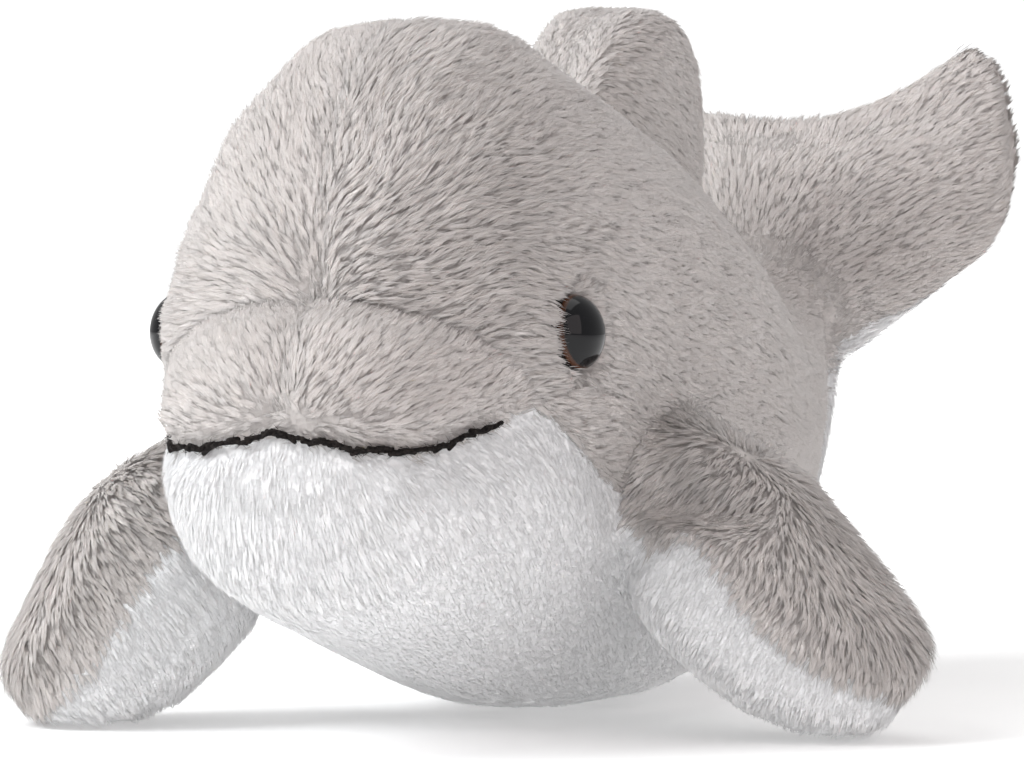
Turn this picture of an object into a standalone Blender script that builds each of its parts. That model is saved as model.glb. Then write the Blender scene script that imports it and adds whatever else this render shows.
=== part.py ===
# Plush dolphin: sewn pile panels over stuffing, with safety eyes.
# Metres, Z up, floor at z = 0, the beak looks along -Y and the dolphin's left is +X. The sizes below are
# measured from the eyes, and the finished toy is moved so that its belly rests on the origin.
import math

import bmesh
import bpy
from mathutils import Matrix, Vector
from mathutils.bvhtree import BVHTree

mm = 0.001
restPoint = 80.0 * mm  # from the eyes back to where the belly rests

# Fabric, seams and clearances
skin = 4.0 * mm  # backing and pile together
seamGap = 0.45 * mm
seamDip = 1.2 * mm  # how far a panel rolls in at its seams
fillGap = 0.4 * mm  # between the skin and the stuffing
seatGap = 0.5 * mm  # between a limb's root and the body
limbGap = 1.2 * mm  # between the rest of a limb and the body
tipRound = 0.6 * mm  # panels that meet at a tip stop this far from it
weld = 0.01 * mm  # points nearer than this are one point
outside = 100.0 * mm  # farther out than any of the skin
quarter = math.degrees(math.pi / 2)  # from a ring's side to its top or bottom
edgeSkin = 2.0 * mm  # the fluke's skin where both layers are pressed flat along its trailing edge
edgeGap = 0.25 * mm  # from the middle of a thin edge to the panel on either side of it

# Beak: its tip, and the mouth seam from there to the beak root, in millimetres
beakTip = (0.0, -41.5, 50.5)
beakTipWidth = 0.001  # so narrow that the first ring closes to a point
mouthSeam = ((0.0, -41.5, 50.5), (18.5, -35.5, 47.3), (26.5, -21.5, 50.0), (32.0, -9.0, 54.5))

# Sections of the body and, from its seam on, the fluke, in millimetres: back (y, z), flank (x, y, z),
# belly (y, z), then the degrees that the white starts below the flank, the lobes' rise and the fullness,
# where 2 is an ellipse
sections = (
    ((-25.5, 71.0), (32.0, -9.0, 54.5), (-25.0, 21.0), (0.0, 0.0, 2.1)),
    ((-23.0, 85.0), (36.0, 2.0, 54.0), (-11.0, 17.0), (7.0, 0.0, 2.1)),
    ((-8.0, 104.5), (38.2, 15.0, 52.0), (6.0, 13.0), (14.0, 0.0, 2.1)),
    ((19.0, 117.5), (40.2, 33.0, 50.5), (29.0, 6.5), (18.0, 0.0, 2.0)),
    ((55.0, 109.5), (42.0, 62.0, 49.0), (62.0, -0.5), (18.0, 0.0, 2.1)),
    ((98.0, 96.5), (41.0, 100.0, 45.0), (100.0, -1.5), (18.0, 0.0, 2.1)),
    ((136.0, 80.0), (32.0, 139.0, 46.0), (140.0, 8.0), (14.0, 0.0, 2.1)),
    ((155.0, 76.0), (22.5, 160.0, 56.0), (170.0, 24.0), (7.0, 0.0, 2.2)),
    ((160.5, 80.0), (18.5, 172.0, 64.0), (185.0, 51.0), (0.0, 0.0, 2.4)),
    ((163.0, 86.0), (32.0, 175.0, 70.0), (187.0, 66.0), (0.0, 0.0, 2.8)),
    ((165.5, 92.0), (44.5, 177.0, 79.0), (186.5, 79.0), (0.0, 1.0, 3.0)),
    ((168.5, 96.0), (49.0, 178.0, 90.0), (186.5, 90.0), (0.0, 4.0, 3.0)),
    ((171.0, 98.0), (46.5, 179.0, 98.0), (186.5, 98.0), (0.0, 8.0, 3.0)),
)
flukeEdge = ((178.5, 105.0), (36.0, 179.0, 105.0), (178.5, 105.0), (0.0, 9.0, 3.0))
flukeEdgeRings = 3
tailBend = 10.0  # how far the tail lies to its left at tailBendEnd, in millimetres
tailBendStart, tailBendEnd = 110.0, 180.0  # along y, in millimetres
flukeSeam = 8  # which section it is
widest = 4  # which section it is
ringsPerSection = 3
beakRings = 5
bellySteps = 6
backSteps = 6

# Dorsal fin: front and rear edges from the back up to the top, in millimetres
finFront = ((76.0, 90.0), (88.0, 110.0), (103.0, 120.0), (120.0, 122.5))
finRear = ((142.0, 70.0), (147.0, 98.0), (139.0, 115.0), (120.0, 122.5))
finHalfThickness = 13.5 * mm
finFullness = 2.6
finRings = 7
finSteps = 9

# Flippers: the middle line from the root to the tip, in millimetres
flipperLine = ((38.0, 34.0, 38.5), (49.0, 35.0, 28.5), (62.0, 37.0, 16.5), (78.0, 40.0, 7.3))
flipperHalfChord = 22.0 * mm
flipperHalfThickness = 18.0 * mm
flipperRootShare = 0.75  # of the full section, where the flipper is sewn on
flipperRootTaper = 0.35  # of the length, over which it reaches its full section
flipperTipFullness = 3.0
flipperStep = 0.01  # of the length, for the middle line's direction
flipperSwing = {"left": 0.0, "right": -42.0}  # degrees towards the tail
flipperTuck = {"left": 0.0, "right": 8.0}  # degrees that the tip is drawn in under the body
flipperTwist = {"left": 12.0, "right": 2.0}  # degrees that the leading edge is turned down
flipperRings = 9
flipperSteps = 9

# Colour and roughness of each kind of piece
looks = {
    "gray": ((0.45, 0.44, 0.43), 0.9),
    "white": ((0.85, 0.85, 0.86), 0.9),
    "fill": ((0.9, 0.9, 0.88), 1.0),
    "eye": ((0.02, 0.012, 0.008), 0.08),
    "washer": ((0.85, 0.85, 0.83), 0.45),
}

# Safety eyes: a dome on a ribless stem, with a washer pushed on from inside
eyePlace = (0.0, 65.5)  # y and z of the eye's centre, in millimetres
eyeDiameter = 12.0 * mm
eyeDome = 4.6 * mm
eyeSink = 2.2 * mm  # how deep the dome's rim sits in the pile
stemDiameter = 3.6 * mm
stemLength = 8.0 * mm  # from the outside of the skin
washerDiameter = 13.0 * mm
washerThickness = 1.5 * mm
washerSag = 0.9 * mm  # the curved skin clears the flat washer by this at its middle
partClearance = 0.3 * mm
roundSteps = 24
domeSteps = 6


def material(name, look):
    colour, roughness = looks[look]
    made = bpy.data.materials.new(name)
    made.use_nodes = True
    shader = made.node_tree.nodes["Principled BSDF"]
    shader.inputs["Base Color"].default_value = (*colour, 1.0)
    shader.inputs["Roughness"].default_value = roughness
    shader.inputs["Metallic"].default_value = 0.0
    return made


def smooth(knots, t):
    """The point at t of a Catmull-Rom curve through the knots, which lie at 0, 1, 2 and so on."""
    last = len(knots) - 1
    i = min(int(t), last - 1)
    f = t - i
    b, c = Vector(knots[i]), Vector(knots[i + 1])
    a = Vector(knots[i - 1]) if i > 0 else 2 * b - c
    d = Vector(knots[i + 2]) if i + 2 <= last else 2 * c - b
    return 0.5 * (2 * b + (c - a) * f + (2 * a - 5 * b + 4 * c - d) * f**2 + (3 * b - a - 3 * c + d) * f**3)


def section(top, side, bottom, angle, fullness):
    """A point on a superellipse through its top, side and bottom: 90 degrees is the top, -90 the bottom."""
    across = math.cos(math.radians(angle))
    away = (1.0 - min(across, 1.0) ** fullness) ** (1.0 / fullness)
    centre = Vector((0.0, side[1], side[2]))
    end = Vector((0.0, *top)) if angle > 0 else Vector((0.0, *bottom))
    return centre + Vector((side[0] * across, 0.0, 0.0)) + (end - centre) * away


def onFloor(point):
    """The soft skin spreads flat where it meets the floor."""
    return Vector((point.x, point.y, max(point.z, 0.0)))


def halfRing(top, side, bottom, form):
    """Half a ring from the belly's middle over the panel border to the back's middle."""
    border, lift, fullness = form
    angles = [-quarter + (quarter - border) * j / bellySteps for j in range(bellySteps)]
    angles += [-border + (quarter + border) * j / backSteps for j in range(backSteps + 1)]
    points = [section(top, side, bottom, a, fullness) for a in angles]
    return [onFloor((p + Vector((0.0, 0.0, lift * (p.x / side[0]) ** 2))) * mm) for p in points]


def closing(ring, end, share, along):
    """A quarter ellipse from an end point, at 0, to a ring's point, at 1. It leaves the end squarely."""
    reach, spread = math.cos(share * math.pi / 2), math.sin(share * math.pi / 2)
    made = [b + (a - b) * spread for a, b in zip(ring, end)]
    made[along] = ring[along] + (end[along] - ring[along]) * reach
    return tuple(made)


def beakRow(share):
    """One half ring of the beak, from 0 at its tip to 1 at the beak root."""
    top, side, bottom, form = sections[0]
    before = tuple(-x if k == 0 else x for k, x in enumerate(mouthSeam[1]))
    x, y, z = smooth((before, *mouthSeam), 1 + share * (len(mouthSeam) - 1))
    top, bottom = (closing(end, beakTip[1:], share, along=0) for end in (top, bottom))
    return halfRing(top, (max(x, beakTipWidth), y, z), bottom, form)


def flukeRow(share):
    """One half ring of the fluke's edge, from 0 at the trailing edge to 1 at the last section."""
    top, side, bottom = (closing(a, b, share, along=-1) for a, b in zip(sections[-1][:3], flukeEdge))
    form = smooth((flukeEdge[3], sections[-1][3]), share)
    return halfRing(top, side, bottom, form)


def bodyRow(t):
    return halfRing(*(tuple(smooth([row[k] for row in sections], t)) for k in range(4)))


def mirrored(row):
    return [Vector((-p.x, p.y, p.z)) for p in row]


def wholeRing(half):
    """A half ring and its mirror image, once round from the belly's middle."""
    return half + mirrored(half)[-2:0:-1]


def bent(row):
    """A ring of the tail, moved sideways with it."""
    moved = []
    for p in row:
        share = max(0.0, p.y / mm - tailBendStart) / (tailBendEnd - tailBendStart)
        moved.append(p + Vector((tailBend * share**2, 0.0, 0.0)) * mm)
    return moved


def sharedNormal(point, row, normals):
    """The mean normal of all points of an end ring that lie at this point, where the ring closes."""
    return sum((n for p, n in zip(row, normals) if (p - point).length < tipRound), Vector()).normalized()


def gridNormals(rows, inside):
    """Outward normals of closed rings, from each point's neighbours; inside lies within the shape."""
    count = len(rows[0])
    normals = []
    for i, row in enumerate(rows):
        before, after = rows[max(i - 1, 0)], rows[min(i + 1, len(rows) - 1)]
        line = []
        for j in range(count):
            around = row[(j + 1) % count] - row[j - 1]
            along = after[j] - before[j]
            normal = around.cross(along)
            line.append(normal.normalized())
        normals.append(line)
    for row, line in ((rows[0], normals[0]), (rows[-1], normals[-1])):
        line[:] = [sharedNormal(p, row, line) for p in row]
    flip = sum((p - inside).dot(n) for row, line in zip(rows, normals) for p, n in zip(row, line)) < 0
    return [[-n if flip else n for n in line] for line in normals]


def offset(rows, normals, depth):
    return [[p - n * depth for p, n in zip(row, line)] for row, line in zip(rows, normals)]


def keptApart(rows, thinned, first):
    """From row first on, inner points of a thin edge that pass its middle go back to just short of it."""
    count = len(rows[0])

    def across(i, j):
        return rows[i][j] - rows[i][(count // 2 - j) % count]

    kept = thinned[:first]
    for i in range(first, len(rows)):
        line = []
        for j, p in enumerate(thinned[i]):
            width = across(i, j)
            way = (width if width.length > edgeGap else across(i - 1, j)).normalized()
            short = edgeGap - (p - rows[i][j] + width / 2).dot(way)
            line.append(p + way * max(short, 0.0))
        kept.append(line)
    return kept


def twoTriangles(a, b, c, d):
    """A four-cornered face split from a to c, so that facets that lie face to face are split alike."""
    return [(a, b, c), (a, c, d)]


def meshObject(name, points, faces, look):
    mesh = bpy.data.meshes.new(name)
    mesh.from_pydata([tuple(p) for p in points], [], faces)
    made = bmesh.new()
    made.from_mesh(mesh)
    bmesh.ops.remove_doubles(made, verts=made.verts, dist=weld)
    bmesh.ops.recalc_face_normals(made, faces=made.faces)
    if made.calc_volume(signed=True) < 0:
        bmesh.ops.reverse_faces(made, faces=made.faces)
    made.to_mesh(mesh)
    made.free()
    mesh.materials.append(material(name, look))
    mesh.shade_smooth()
    mesh.set_sharp_from_angle(angle=math.radians(50))
    thing = bpy.data.objects.new(name, mesh)
    bpy.context.collection.objects.link(thing)
    return thing


def drawnIn(rows, distance, sides):
    """The patch with its named border rows moved inwards by distance, so that seams keep a gap."""
    rows = [[p.copy() for p in row] for row in rows]

    def step(a, b):
        return a + (b - a).normalized() * min(distance, (b - a).length / 2)

    if "left" in sides:
        for row in rows:
            row[0] = step(row[0], row[1])
    if "right" in sides:
        for row in rows:
            row[-1] = step(row[-1], row[-2])
    if "first" in sides:
        rows[0] = [step(a, b) for a, b in zip(rows[0], rows[1])]
    if "last" in sides:
        rows[-1] = [step(a, b) for a, b in zip(rows[-1], rows[-2])]
    return rows


def panel(name, outer, inner, normals, look, tips=()):
    """A sewn panel: a closed shell between two patches of points, rolled in at its seams."""
    sides = {"left", "right", "first", "last"} - set(tips)
    rolled = [[p.copy() for p in row] for row in outer]
    last, end = len(rolled) - 1, len(rolled[0]) - 1
    for i in range(last + 1):
        for j in range(end + 1):
            if i in (0, last) or j in (0, end):
                rolled[i][j] -= normals[i][j] * seamDip
    front, back = (drawnIn(rows, seamGap / 2, sides) for rows in (rolled, inner))
    front, back = (drawnIn(rows, tipRound, tips) for rows in (front, back))
    front = [[onFloor(p) for p in row] for row in front]
    wide = end + 1
    size = wide * (last + 1)
    points = [p for row in front + back for p in row]
    faces = []
    for i in range(last):
        for j in range(end):
            a, b, c, d = i * wide + j, i * wide + j + 1, (i + 1) * wide + j + 1, (i + 1) * wide + j
            faces += twoTriangles(a, b, c, d)
            faces += [tuple(size + k for k in reversed(f)) for f in twoTriangles(a, b, c, d)]
    rim = [j for j in range(wide)]
    rim += [i * wide + end for i in range(1, last + 1)]
    rim += [last * wide + j for j in range(end - 1, -1, -1)]
    rim += [i * wide for i in range(last - 1, 0, -1)]
    for a, b in zip(rim, rim[1:] + rim[:1]):
        faces.append((a, b, size + b, size + a))
    return meshObject(name, points, faces, look)


def core(name, rows, look):
    """Stuffing: closed rings joined into one solid, with both ends capped from their middles."""
    count = len(rows[0])
    points = [p for row in rows for p in row]
    size = len(points)
    points += [sum(row, Vector()) / count for row in (rows[0], rows[-1])]
    faces = ringFaces(rows)
    for j in range(count):
        k = (j + 1) % count
        faces += [(k, j, size), (size - count + j, size - count + k, size + 1)]
    return meshObject(name, points, faces, look)


def ringFaces(rows):
    """The facets between closed rings, whose points are numbered ring by ring."""
    count = len(rows[0])
    faces = []
    for i in range(len(rows) - 1):
        for j in range(count):
            k = (j + 1) % count
            faces += twoTriangles(i * count + j, i * count + k, (i + 1) * count + k, (i + 1) * count + j)
    return faces


def patch(rows, first, last, start, end):
    """Rows first to last and columns start to end of closed rings, counted round past the ring's start."""
    count = len(rows[0])
    return [[row[j % count] for j in range(start, end + 1)] for row in rows[first : last + 1]]


def surfaceOf(rows):
    """A search tree of the closed rings' surface, for seating limbs and eyes on it."""
    return BVHTree.FromPolygons([p for row in rows for p in row], ringFaces(rows))


def seated(surface, row, inward, gap, whole):
    """A limb's ring moved out of the body along a line: the root ring whole, others where they reach it."""
    moved = []
    for p in row:
        hit = surface.ray_cast(p - inward * outside, inward)[0]
        if hit is None:
            moved.append(p)
            continue
        seat = hit - inward * gap
        moved.append(seat if whole or (p - seat).dot(inward) > 0 else p)
    return moved


def limb(rows, surface, inward, fillSeat, names, colours):
    """A stuffed limb of two panels, seamed along its front and rear edges and closed at its tip."""
    middle = sum((p for row in rows for p in row), Vector()) / sum(len(row) for row in rows)
    halves = len(rows[0]) // 2
    normals = gridNormals(rows, middle)
    inner = offset(rows, normals, skin)
    fill = offset(rows, normals, skin + fillGap)
    rows[0] = [p - n * seamDip for p, n in zip(rows[0], normals[0])]
    normals[0] = [Vector()] * len(rows[0])
    for grid, rootGap in ((rows, seatGap), (inner, seatGap), (fill, fillSeat)):
        root = seated(surface, grid[0], inward, rootGap, whole=True)
        grid[:] = [root] + [seated(surface, row, inward, limbGap, whole=False) for row in grid[1:]]
    last = len(rows) - 1
    for name, look, start in zip(names[:2], colours, (0, halves)):
        patches = [patch(grid, 0, last, start, start + halves) for grid in (rows, inner, normals)]
        panel(name, *patches, look, tips=("last",))
    core(names[2], fill[:-1], "fill")


def makeBody():
    rows = [wholeRing(beakRow(i / beakRings)) for i in range(beakRings)]
    bodyRings = (len(sections) - 1) * ringsPerSection
    rows += [wholeRing(bodyRow(i / ringsPerSection)) for i in range(bodyRings + 1)]
    rows += [wholeRing(flukeRow(1.0 - i / flukeEdgeRings)) for i in range(1, flukeEdgeRings + 1)]
    rows = [bent(row) for row in rows]
    middle = Vector((0.0, *sections[widest][1][1:])) * mm
    normals = gridNormals(rows, middle)
    normals[0] = [Vector((0.0, -1.0, 0.0))] * len(rows[0])
    inner = offset(rows, normals, skin)
    fill = offset(rows, normals, skin + fillGap)
    root, seam, end = beakRings, beakRings + flukeSeam * ringsPerSection, len(rows) - 1
    inner[-flukeEdgeRings:] = offset(rows[-flukeEdgeRings:], normals[-flukeEdgeRings:], edgeSkin)
    inner = keptApart(rows, inner, seam + 1)
    outer = keptApart(rows, rows, seam + 1)
    border, top, far = bellySteps, bellySteps + backSteps, bellySteps + 2 * backSteps
    plans = (
        ("left_beak_panel", 0, root, border, top, "gray", ("first",)),
        ("right_beak_panel", 0, root, top, far, "gray", ("first",)),
        ("left_back_panel", root, seam, border, top, "gray", ()),
        ("right_back_panel", root, seam, top, far, "gray", ()),
        ("belly_panel", 0, seam, -border, border, "white", ("first",)),
        ("fluke_front_panel", seam, end, border, far, "gray", ()),
        ("fluke_back_panel", seam, end, -border, border, "white", ()),
    )
    for name, first, last, start, stop, look, tips in plans:
        patches = [patch(grid, first, last, start, stop) for grid in (outer, inner, normals)]
        panel(name, *patches, look, tips=tips)
    core("body_stuffing", fill[1 : seam + 1], "fill")
    core("fluke_stuffing", drawnIn(fill[seam : -flukeEdgeRings - 1], fillGap, ("first",)), "fill")
    return surfaceOf(rows)


def makeFin(surface):
    rows = []
    for i in range(finRings + 1):
        share = i / finRings
        front = smooth(finFront, share * (len(finFront) - 1))
        rear = smooth(finRear, share * (len(finRear) - 1))
        centre = (front + rear) / 2
        half = finHalfThickness * math.sqrt(1.0 - share**3)
        ring = []
        for j in range(2 * finSteps):
            turn = math.pi * j / finSteps
            away = (1.0 - abs(math.cos(turn)) ** finFullness) ** (1.0 / finFullness)
            flat = centre + (front - centre) * math.cos(turn)
            across = half * math.copysign(away, math.sin(turn))
            ring.append(Vector((across, flat[0] * mm, flat[1] * mm)))
        rows.append(ring)
    names = ("left_fin_panel", "right_fin_panel", "fin_stuffing")
    limb(rows, surface, Vector((0.0, 0.0, -1.0)), seatGap, names, ("gray", "gray"))


def flipperRing(side, reach):
    """One ring of a left flipper, turned as it lies on that side, from 0 at its root to 1 at its tip."""
    span = len(flipperLine) - 1
    swing = Matrix.Rotation(math.radians(flipperSwing[side]), 3, "Z")
    swing = swing @ Matrix.Rotation(math.radians(flipperTuck[side]), 3, "Y")
    root = Vector(flipperLine[0])
    centre = root + swing @ (smooth(flipperLine, reach * span) - root)
    near = min(reach, 1.0 - flipperStep)
    ahead = smooth(flipperLine, (near + flipperStep) * span)
    behind = smooth(flipperLine, max(near - flipperStep, 0.0) * span)
    along = (swing @ (ahead - behind)).normalized()
    twist = Matrix.Rotation(math.radians(flipperTwist[side]), 3, along)
    chord = twist @ (Vector((0.0, -1.0, 0.0)) + along * along.y).normalized()
    thick = chord.cross(along)
    size = (1.0 - min(reach, 1.0) ** flipperTipFullness) ** (1.0 / flipperTipFullness)
    size *= 1.0 - (1.0 - flipperRootShare) * (1.0 - min(reach / flipperRootTaper, 1.0)) ** 2
    ring = []
    for j in range(2 * flipperSteps):
        turn = math.pi * j / flipperSteps
        p = centre * mm + chord * flipperHalfChord * size * math.cos(turn)
        ring.append(onFloor(p + thick * flipperHalfThickness * size * math.sin(turn)))
    return ring


def makeFlipper(side, surface):
    rows = [flipperRing(side, math.sin(math.pi / 2 * i / flipperRings)) for i in range(flipperRings + 1)]
    inward = Vector(flipperLine[0]) - Vector(flipperLine[1])
    if side == "right":
        rows = [mirrored(row) for row in rows]
        inward.x = -inward.x
    names = [side + "_flipper_" + piece for piece in ("outer_panel", "inner_panel", "stuffing")]
    limb(rows, surface, inward.normalized(), seatGap + fillGap, names, ("gray", "white"))


def turned(name, profile, place, look):
    """A solid turned about the local Z axis from radii and heights that start and end on the axis."""
    made = bmesh.new()
    line = [made.verts.new((r, 0.0, h)) for r, h in profile]
    edges = [made.edges.new(pair) for pair in zip(line, line[1:])]
    axis = Vector((0.0, 0.0, 1.0))
    bmesh.ops.spin(made, geom=line + edges, axis=axis, cent=Vector(), steps=roundSteps, angle=2 * math.pi)
    bmesh.ops.remove_doubles(made, verts=made.verts, dist=weld)
    bmesh.ops.recalc_face_normals(made, faces=made.faces)
    mesh = bpy.data.meshes.new(name)
    made.to_mesh(mesh)
    made.free()
    mesh.materials.append(material(name, look))
    mesh.shade_smooth()
    mesh.set_sharp_from_angle(angle=math.radians(40))
    thing = bpy.data.objects.new(name, mesh)
    bpy.context.collection.objects.link(thing)
    thing.matrix_world = place
    return thing


def cut(name, profile, place, look, targets):
    """A turned cutter, taken out of each target."""
    tool = turned(name, profile, place, look)
    tool.hide_render = True
    tool.display_type = "WIRE"
    for target in targets:
        boolean = bpy.data.objects[target].modifiers.new(name, "BOOLEAN")
        boolean.operation = "DIFFERENCE"
        boolean.solver = "EXACT"
        boolean.object = tool


def eyePlacement(surface, sign):
    """Where an eye sits on the skin: its origin there and its local Z axis pointing out."""

    def onSkin(y, z):
        start = Vector((sign * outside, y * mm, z * mm))
        return surface.ray_cast(start, Vector((-sign, 0.0, 0.0)))[0]

    y, z = eyePlace
    reach = eyeDiameter / mm / 2
    lengthways = onSkin(y + reach, z) - onSkin(y - reach, z)
    upwards = onSkin(y, z + reach) - onSkin(y, z - reach)
    normal = (lengthways.cross(upwards) * sign).normalized()
    return Matrix.Translation(onSkin(y, z)) @ normal.to_track_quat("Z", "Y").to_matrix().to_4x4()


def makeEye(side, surface):
    place = eyePlacement(surface, 1.0 if side == "left" else -1.0)
    rim, stem, washer = eyeDiameter / 2, stemDiameter / 2, washerDiameter / 2
    turns = [math.pi / 2 * i / domeSteps for i in range(domeSteps + 1)]
    dome = [(rim * math.sin(t), eyeDome * math.cos(t) - eyeSink) for t in turns]
    turned(side + "_eye", dome + [(stem, -eyeSink), (stem, -stemLength), (0.0, -stemLength)], place, "eye")
    top = -skin - washerSag
    under = top - washerThickness
    hole = stem + partClearance
    ring = [(hole, top), (washer, top), (washer, under), (hole, under), (hole, top)]
    turned(side + "_eye_washer", ring, place, "washer")
    socket, seat = rim + partClearance, -eyeSink - partClearance
    profile = [(0.0, eyeDome * 2), (socket, eyeDome * 2), (socket, seat)]
    profile += [(hole, seat), (hole, -stemLength), (0.0, -stemLength)]
    cut(side + "_eye_socket_cutter", profile, place, "eye", [side + "_back_panel"])
    wide, deep = washer + fillGap, -stemLength - fillGap
    profile = [(0.0, 0.0), (wide, 0.0), (wide, deep), (0.0, deep)]
    cut(side + "_eye_pocket_cutter", profile, place, "fill", ["body_stuffing"])


for old in list(bpy.data.objects):
    bpy.data.objects.remove(old, do_unlink=True)

bodySurface = makeBody()
makeFin(bodySurface)
for side in ("left", "right"):
    makeFlipper(side, bodySurface)
    makeEye(side, bodySurface)
for thing in bpy.data.objects:
    thing.location.y -= restPoint
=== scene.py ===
import math

import bmesh
import bpy
import numpy as np
from mathutils import Matrix, Vector
from mathutils.bvhtree import BVHTree
from mathutils.kdtree import KDTree


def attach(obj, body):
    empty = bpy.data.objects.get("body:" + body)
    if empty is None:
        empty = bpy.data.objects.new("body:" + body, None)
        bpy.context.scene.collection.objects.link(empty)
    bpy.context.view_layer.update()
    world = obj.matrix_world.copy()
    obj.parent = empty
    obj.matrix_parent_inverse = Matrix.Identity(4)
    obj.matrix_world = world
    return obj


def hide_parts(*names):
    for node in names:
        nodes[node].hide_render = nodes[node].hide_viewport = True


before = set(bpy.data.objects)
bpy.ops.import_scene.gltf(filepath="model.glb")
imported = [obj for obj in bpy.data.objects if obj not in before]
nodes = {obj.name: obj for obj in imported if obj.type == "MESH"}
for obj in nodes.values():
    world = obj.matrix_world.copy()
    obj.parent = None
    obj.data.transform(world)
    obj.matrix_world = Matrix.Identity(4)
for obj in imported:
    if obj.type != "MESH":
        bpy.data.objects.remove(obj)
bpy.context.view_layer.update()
mm = 0.001


# the photograph's view: a long lens, from the front and a little to the dolphin's left
cameraSetup = {
    "place": (0.2942, -0.8243, 0.078),
    "azimuth": 20.0,
    "tiltDown": 1.48,
    "lens": 180.0,
}


def addCamera(setup):
    shot = bpy.data.cameras.new("camera")
    shot.lens = setup["lens"]
    shot.sensor_width = 36.0
    rig = bpy.data.objects.new("camera", shot)
    bpy.context.scene.collection.objects.link(rig)
    rig.location = setup["place"]
    rig.rotation_euler = (math.radians(90 - setup["tiltDown"]), 0, math.radians(setup["azimuth"]))
    bpy.context.scene.camera = rig


def newMaterial(name):
    made = bpy.data.materials.new(name)
    made.use_nodes = True
    return made, made.node_tree, made.node_tree.nodes["Principled BSDF"]


def fillIn(node, values):
    for name, value in values.items():
        node.inputs[name].default_value = value


# white sweep and big soft lights
studio = {
    "floorSize": 6.0,
    "floorBack": 1.2,  # its middle lies this far behind the toy
    "paper": {
        "Base Color": (0.93, 0.93, 0.93, 1),
        "Roughness": 0.85,
        "Specular IOR Level": 0.1,
        "Emission Color": (1, 1, 1, 1),
    },
    "floorGlow": 0.30,  # the sweep is lit from behind, so that it stays white to the horizon
    "floorGlowForCamera": (0.22, 1.1),  # near the toy and far from it
    "floorFade": (0.2, 0.7),
    "airForLight": 0.49,  # the white room as the toy sees it
    "airForCamera": 1.15,  # and as the camera sees it, blown out
    "lights": [
        # name, size, watts, colour, place, aim
        ("keySoftbox", 1.0, 20.5, (0.97, 0.99, 1.0), (-0.85, -0.8, 0.95), (0.0, -0.06, 0.05)),
        ("fillSoftbox", 1.1, 3.6, (1.0, 0.87, 0.87), (0.95, -0.75, 0.6), (0.0, -0.02, 0.05)),
        ("topSoftbox", 1.0, 3.6, (1.0, 1.0, 1.0), (0.0, 0.1, 1.25), (0.0, 0.0, 0.05)),
    ],
}


# one strength for the light that something gives, another for how bright it looks itself
def cameraLevel(tree, given, seen):
    rays = tree.nodes.new("ShaderNodeLightPath")
    level = tree.nodes.new("ShaderNodeMapRange")
    fillIn(level, {"To Min": given, "To Max": seen})
    tree.links.new(rays.outputs["Is Camera Ray"], level.inputs["Value"])
    return level


def addStudio(setup):
    bpy.ops.mesh.primitive_plane_add(size=setup["floorSize"], location=(0, setup["floorBack"], 0))
    floor = bpy.context.object
    floor.name = "floor"
    bpy.ops.object.mode_set(mode="EDIT")
    bpy.ops.mesh.subdivide(number_cuts=1)
    bpy.ops.object.mode_set(mode="OBJECT")
    paper, tree, shader = newMaterial("floorPaper")
    fillIn(shader, setup["paper"])
    level = cameraLevel(tree, setup["floorGlow"], setup["floorGlowForCamera"][0])
    tree.links.new(level.outputs["Result"], shader.inputs["Emission Strength"])
    place = tree.nodes.new("ShaderNodeTexCoord")
    away = tree.nodes.new("ShaderNodeVectorMath")
    away.operation = "DISTANCE"
    away.inputs[1].default_value = (0, -setup["floorBack"], 0)
    fade = tree.nodes.new("ShaderNodeMapRange")
    (near, far), (dim, bright) = setup["floorFade"], setup["floorGlowForCamera"]
    fillIn(fade, {"From Min": near, "From Max": far, "To Min": dim, "To Max": bright})
    tree.links.new(place.outputs["Object"], away.inputs[0])
    tree.links.new(away.outputs["Value"], fade.inputs["Value"])
    tree.links.new(fade.outputs["Result"], level.inputs["To Max"])
    floor.data.materials.append(paper)
    for name, size, watts, colour, place, aim in setup["lights"]:
        lamp = bpy.data.lights.new(name, "AREA")
        lamp.shape = "SQUARE"
        lamp.size = size
        lamp.energy = watts
        lamp.color = colour
        rig = bpy.data.objects.new(name, lamp)
        bpy.context.scene.collection.objects.link(rig)
        rig.location = place
        rig.rotation_euler = (Vector(aim) - Vector(place)).to_track_quat("-Z", "Y").to_euler()
    world = bpy.data.worlds.new("studioAir")
    world.use_nodes = True
    tree = world.node_tree
    tree.nodes["Background"].inputs["Color"].default_value = (1, 1, 1, 1)
    level = cameraLevel(tree, setup["airForLight"], setup["airForCamera"])
    tree.links.new(level.outputs["Result"], tree.nodes["Background"].inputs["Strength"])
    bpy.context.scene.world = world
    bpy.context.scene.view_settings.view_transform = "Standard"


addCamera(cameraSetup)
addStudio(studio)
print("studio and camera are set")


# what the knitted backing under the pile looks like, and the tones of the pile itself
grayFur = {
    "backing": (0.47, 0.44, 0.425, 1),
    "tones": [
        (0.44, 0.412, 0.397), (0.49, 0.46, 0.445), (0.535, 0.505, 0.49),
        (0.575, 0.547, 0.532), (0.615, 0.589, 0.575),
    ],
}
whiteFur = {
    "backing": (0.77, 0.768, 0.772, 1),
    "tones": [
        (0.74, 0.738, 0.742), (0.755, 0.753, 0.757), (0.77, 0.768, 0.772),
        (0.785, 0.783, 0.787), (0.80, 0.798, 0.80),
    ],
}


knitted = {
    "shader": {"Roughness": 0.95, "Specular IOR Level": 0.15},
    "patches": {"Scale": 420.0, "Detail": 4.0},
    "shades": ((0.35, 0.85), (0.7, 1.12)),  # place on the ramp and share of the colour
    "lightest": 0.9,
    "loops": {"Scale": 900.0},
    "relief": {"Strength": 0.6, "Distance": 0.0004},
}


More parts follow.
